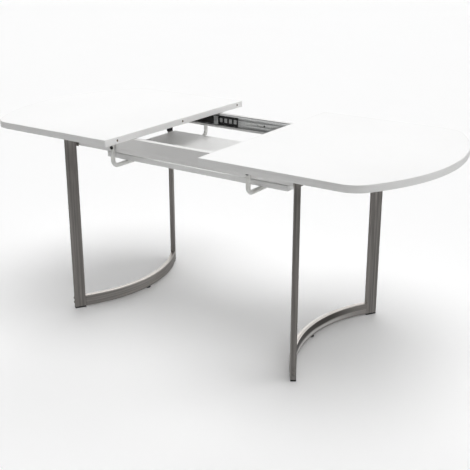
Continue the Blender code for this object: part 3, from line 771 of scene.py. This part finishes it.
def build_rod(side, finish):
    """A round rod bent to a U by spinning its end round each bend, its ends pressed flat."""
    node = f"storage_rod_{side}"
    low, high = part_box(node)
    rod_x = (low.x + high.x) / 2
    rod_y = high.y - ROD_RADIUS
    run_z = low.z + ROD_RADIUS
    flat_z = high.z - ROD_FLAT_LENGTH
    round_z = flat_z - ROD_FLAT_FADE
    deselect()
    bpy.ops.mesh.primitive_circle_add(
        vertices=24, radius=ROD_RADIUS, location=(rod_x, -rod_y, high.z), fill_type="NGON")
    rod = bpy.context.object
    rod.name = f"bent_rod_{side}"
    apply_transform()
    edit(rod)
    select_all()
    bend_z = run_z + ROD_BEND
    bend_y = rod_y - ROD_BEND
    down = [high.z, flat_z, (flat_z + round_z) / 2, round_z, bend_z]
    up = down[::-1]
    for start, end in zip(down, down[1:]):
        extrude(0, 0, end - start)
    sweep(math.pi / 2, ROD_BEND_STEPS, (rod_x, -bend_y, bend_z), (1, 0, 0))
    extrude(0, 2 * bend_y, 0)
    sweep(math.pi / 2, ROD_BEND_STEPS, (rod_x, bend_y, bend_z), (1, 0, 0))
    for start, end in zip(up, up[1:]):
        extrude(0, 0, end - start)
    select_all()
    bpy.ops.mesh.remove_doubles(threshold=0.00001)
    half_flat = (ROD_RADIUS + ROD_FLAT_DEPTH) / 2
    for level, depth in ((flat_z - 1e-4, ROD_FLAT_DEPTH), (round_z + 1e-4, half_flat)):
        for way in (-1, 1):
            face_y = way * (rod_y + depth)
            pick(rod, "VERT", lambda v: v.co.z > level and way * (v.co.y - face_y) > 0)
            bpy.ops.transform.resize(value=(1, 0, 1), center_override=(rod_x, face_y, high.z))
    leave()
    # Spinning leaves a disc inside the rod at each joint of the sweep.
    edit(rod)
    pick(rod, "FACE", lambda f: len(f.verts) > 8 and f.calc_center_median().z < high.z - 1e-4)
    bpy.ops.mesh.delete(type="ONLY_FACE")
    face_out()
    leave()
    bevel(rod, lambda e: corner_angle(e) > 75, 0.0014, 3)
    return settle(rod, [finish], body_of(node), [node])


def build_channel(face, way, finish):
    """The fixed runner channel: raceway grooves pressed along its web, and slots for its screws."""
    node = f"runner_channel_{face}"
    low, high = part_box(node)
    mid_z = (low.z + high.z) / 2
    web_back = high.y if way > 0 else low.y
    web_face = web_back - way * CHANNEL_SHEET
    channel = copy_node(node, f"channel_{face}")
    for level in (-1, 1):
        z = mid_z + level * RACEWAY_RISE
        y_low, y_high = sorted((web_face - way * 0.002, web_face + way * RACEWAY_DEPTH))
        groove = add_box("groove", (low.x - 0.01, y_low, z - RACEWAY_WIDTH / 2),
                         (high.x + 0.01, y_high, z + RACEWAY_WIDTH / 2))
        bevel(groove, lambda e: runs_along(e, 0, 0.1) and all(
            way * (v.co.y - web_face) > 0 for v in e.verts), RACEWAY_DEPTH * 0.9, 3)
        cut(channel, groove)
    for start, end in CHANNEL_SLOTS:
        slot = add_box("slot", (start, web_face - 0.004, mid_z - SLOT_HEIGHT / 2),
                       (end, web_face + 0.004, mid_z + SLOT_HEIGHT / 2))
        bevel(slot, lambda e: runs_along(e, 1, 0.005), SLOT_HEIGHT * 0.48, 6)
        cut(channel, slot)
    modify(channel, "BEVEL", width=0.0003, segments=2, limit_method="ANGLE", angle_limit=math.radians(50))
    return settle(channel, [finish], body_of(node), [node])


def build_cage(face, way_y, side, way_x, finish, balls_finish):
    """A thin windowed sheet with a flange along each edge, and steel balls in the flanges."""
    node = f"runner_cage_{face}_{side}"
    low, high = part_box(node)
    back = high.y if way_y > 0 else low.y
    front = low.y if way_y > 0 else high.y
    count = int((high.x - low.x) / CAGE_PITCH)
    half = (high.z - low.z) / 2 - BALL_RADIUS + CAGE_SHEET / 2
    mid_z = (low.z + high.z) / 2
    inner = high.x if way_x < 0 else low.x
    middles = [inner + way_x * CAGE_PITCH * (i + 0.6) for i in range(count)]
    cage = add_box(f"ball_cage_{face}_{side}", (low.x, low.y, mid_z - half), (high.x, high.y, mid_z + half))
    y_low, y_high = sorted((back - way_y * CAGE_SHEET, front - way_y * 0.01))
    hollow = add_box("hollow", (low.x - 0.01, y_low, mid_z - half + CAGE_SHEET),
                     (high.x + 0.01, y_high, mid_z + half - CAGE_SHEET))
    cut(cage, hollow)
    windows = None
    half_wide, half_tall = CAGE_WINDOW[0] / 2, CAGE_WINDOW[1] / 2
    for x in middles:
        window = add_box("window", (x - half_wide, back - 0.003, mid_z - half_tall),
                         (x + half_wide, back + 0.003, mid_z + half_tall))
        bevel(window, lambda e: runs_along(e, 1, 0.004), CAGE_WINDOW_CORNER, 4)
        windows = join(windows, window)
    cut(cage, windows)
    modify(cage, "BEVEL", width=0.00025, segments=2, limit_method="ANGLE", angle_limit=math.radians(50))
    settle(cage, [finish], body_of(node), [node])
    balls = None
    ball_y = front + way_y * BALL_RADIUS / 2
    for x in middles[::2]:
        for level in (-1, 1):
            deselect()
            bpy.ops.mesh.primitive_uv_sphere_add(
                segments=16, ring_count=10, radius=BALL_RADIUS,
                location=(x, ball_y, mid_z + level * (half - CAGE_SHEET / 2)))
            balls = join(balls, bpy.context.object)
    balls.name = f"steel_balls_{face}_{side}"
    settle(balls, [balls_finish], body_of(node), [])


# ---------------------------------------------------------------------------------------------
# The whole table


def build_table():
    top_white = lacquer_finish("white_top_lacquer", (0.875, 0.875, 0.872), (0.862, 0.862, 0.858), 0.42)
    apron_white = lacquer_finish("white_apron_lacquer", (0.76, 0.755, 0.745), (0.72, 0.715, 0.705), 0.38)
    shelf_white = lacquer_finish("white_shelf_lacquer", (0.82, 0.82, 0.81), (0.79, 0.79, 0.78), 0.36)
    band = edge_band_finish()
    # Painted light: the seam faces are lacquered rather than edged, and this lacquer is lighter than the
    # top's to paint in the extra light they catch.
    seam_white_painted_light = lacquer_finish("white_seam_lacquer_painted_light", (0.90, 0.895, 0.885), (0.87, 0.865, 0.855), 0.34)
    core = core_finish()
    slope, centre = leg_slant()
    steel_up = steel_finish("steel_brushed_upright", "z")
    steel_cross = steel_finish("steel_brushed_across", "y")
    steel_arc = {
        side: steel_finish(f"steel_brushed_round_{side}", way * centre) for side, way in SIDES}
    powder = powder_finish()
    zinc = zinc_finish()
    plastic = black_finish("black_moulding", (0.012, 0.012, 0.012), 0.42)
    # Partly painted shade: this black lacquer on the hanger angles also stands in for the deep shade under
    # the tabletop.
    angle_black_and_shade = black_finish("black_steel_lacquer_and_shade", (0.016, 0.016, 0.016), 0.40, 0.3)
    screw_black = black_finish("black_oxide_screw", (0.03, 0.03, 0.03), 0.30, 0.8)
    balls = ball_finish()

    for side, way in SIDES:
        build_top(side, way, [top_white, band, core, seam_white_painted_light])
        dress(f"seam_catch_{side}", f"catch_{side}", plastic, 0.0008, 3)
        dress(f"end_rail_{side}", f"end_crossbar_{side}", steel_cross, 0.0003)
        build_foot_bar(side, way, steel_arc[side])
        dress(f"foot_bar_glide_{side}", f"bar_glide_{side}", plastic, 0.0004)
        build_rod(side, powder)
    for place in PINS:
        build_pin(place, zinc)
    dress("storage_shelf", "storage_board", shelf_white, 0.0006, 3)
    for face, way in FACES:
        dress(f"apron_{face}", f"apron_board_{face}", apron_white, 0.0006, 3)
        build_channel(face, way, zinc)
        build_screw(f"channel_screw_{face}", f"runner_screw_{face}", (0, -way, 0), screw_black,
                    28, 4, 0.34, 0.25)
    for face, way_y, side, way_x in CORNERS:
        build_post(face, way_y, side, way_x, steel_up)
        dress(f"leg_plate_{face}_{side}", f"post_plate_{face}_{side}", steel_cross, 0.0004)
        dress(f"foot_pad_{face}_{side}", f"post_pad_{face}_{side}", plastic, 0.0004)
        outward = (way_x * math.sin(slope), way_y * math.cos(slope), 0)
        for level in ("low", "high"):
            build_screw(f"foot_bolt_{face}_{side}_{level}", f"foot_screw_{face}_{side}_{level}",
                        outward, steel_up, 28, 6, 0.42, 0.55)
        build_screw(f"rod_bolt_{face}_{side}", f"rod_screw_{face}_{side}", (0, way_y, 0), plastic,
                    32, 6, 0.40, 0.60)
        corner = f"{face}_{side}"
        dress(f"runner_member_{corner}", f"moving_channel_{corner}", zinc, 0.0005, 3)
        # The hanger angles' black is partly painted shade under the tabletop.
        dress(f"runner_angle_{corner}", f"hanger_angle_{corner}", angle_black_and_shade, 0.0006, 3)
        build_cage(face, way_y, side, way_x, plastic, balls)


def build_floor():
    deselect()
    bpy.ops.mesh.primitive_plane_add(size=FLOOR_SIZE, location=(0, FLOOR_SIZE / 4, 0))
    floor = bpy.context.object
    floor.name = "studio_floor"
    floor.data.materials.append(floor_finish())
    apply_transform()
    # Steel mirrors the dim room below the horizon, as it does on a small studio floor.
    floor.visible_glossy = False


def build_backdrop():
    """A round wall that closes the view behind the floor. It lights nothing and casts no shadow."""
    deselect()
    bpy.ops.mesh.primitive_cylinder_add(
        vertices=96, radius=WALL_RADIUS, depth=WALL_HEIGHT, location=(0, 0, WALL_HEIGHT / 2 - 0.5),
        end_fill_type="NOTHING")
    wall = bpy.context.object
    wall.name = "studio_backdrop"
    wall.data.materials.append(backdrop_finish())
    apply_transform()
    wall.visible_diffuse = False
    wall.visible_glossy = False
    wall.visible_transmission = False
    wall.visible_shadow = False


def build_room():
    """A dim room that differs above and below the horizon, with one bright screen."""
    world = bpy.data.worlds.new("studio")
    world.use_nodes = True
    tree = world.node_tree
    direction = tree.nodes.new("ShaderNodeTexCoord").outputs["Generated"]
    parts = tree.nodes.new("ShaderNodeSeparateXYZ")
    tree.links.new(direction, parts.inputs[0])
    height = tree.nodes.new("ShaderNodeMapRange")
    height.inputs["From Min"].default_value = -HORIZON_BLUR
    height.inputs["From Max"].default_value = HORIZON_BLUR
    height.inputs["To Min"].default_value = ROOM_BELOW
    height.inputs["To Max"].default_value = ROOM_ABOVE
    tree.links.new(parts.outputs["Z"], height.inputs["Value"])
    nearness = tree.nodes.new("ShaderNodeVectorMath")
    nearness.operation = "DOT_PRODUCT"
    nearness.inputs[1].default_value = Vector(SCREEN_TOWARDS).normalized()
    tree.links.new(direction, nearness.inputs[0])
    screen = tree.nodes.new("ShaderNodeMapRange")
    screen.interpolation_type = "SMOOTHSTEP"
    screen.inputs["From Min"].default_value = math.cos(math.radians(SCREEN_OUTER_DEGREES))
    screen.inputs["From Max"].default_value = math.cos(math.radians(SCREEN_INNER_DEGREES))
    screen.inputs["To Max"].default_value = SCREEN_BRIGHTNESS
    tree.links.new(nearness.outputs["Value"], screen.inputs["Value"])
    glow = tree.nodes.new("ShaderNodeMath")
    tree.links.new(height.outputs[0], glow.inputs[0])
    tree.links.new(screen.outputs[0], glow.inputs[1])
    tree.links.new(glow.outputs[0], tree.nodes["Background"].inputs["Color"])
    bpy.context.scene.world = world


def build_lights():
    for name, place, power in SUNS:
        light = bpy.data.lights.new(name, "SUN")
        light.angle = math.radians(SUN_SPREAD_DEGREES)
        light.energy = power
        lamp = bpy.data.objects.new(name, light)
        lamp.location = place
        lamp.rotation_euler = Vector(place).to_track_quat("Z", "Y").to_euler()
        bpy.context.scene.collection.objects.link(lamp)


def build_camera():
    scene = bpy.context.scene
    scene.view_settings.view_transform = "Standard"
    scene.view_settings.look = "None"
    lens = bpy.data.cameras.new("viewpoint")
    lens.sensor_width = 36.0
    lens.lens = CAMERA_LENS
    lens.shift_y = CAMERA_SHIFT
    lens.clip_end = 200.0
    camera = bpy.data.objects.new("viewpoint", lens)
    camera.location = CAMERA_PLACE
    camera.rotation_euler = (
        math.radians(90 - CAMERA_DOWN_DEGREES), 0.0, math.radians(CAMERA_AZIMUTH_DEGREES))
    scene.collection.objects.link(camera)
    scene.camera = camera


build_table()
build_floor()
build_backdrop()
build_room()
build_lights()
build_camera()
